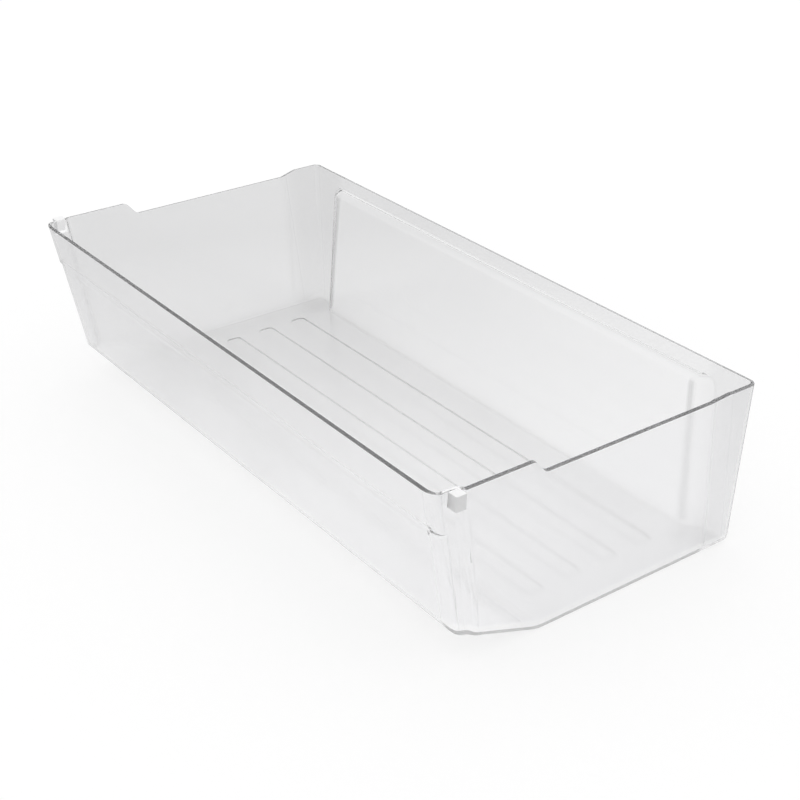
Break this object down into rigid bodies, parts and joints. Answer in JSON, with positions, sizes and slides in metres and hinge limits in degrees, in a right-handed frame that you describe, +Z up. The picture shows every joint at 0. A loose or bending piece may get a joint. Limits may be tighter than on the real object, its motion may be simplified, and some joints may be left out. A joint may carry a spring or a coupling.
{
  "type": "freezer drawer",
  "caption": "Clear moulded freezer drawer: a wide, shallow open bin with a leaning front wall, bevelled floor, raised side tabs, corner lugs and a ribbed base.",
  "frame": {"origin": "on the underside of the flat floor, at the middle of the drawer's width and depth", "axes": "+X along the width, +Y from the front wall to the back wall, +Z up"},
  "size_m": [0.3964, 0.1999, 0.1015],
  "materials": {
    "clear_plastic": "clear gloss, moulded"
  },
  "bodies": {
    "root": {"drawer_bin": "clear_plastic"}
  },
  "joints": []
}
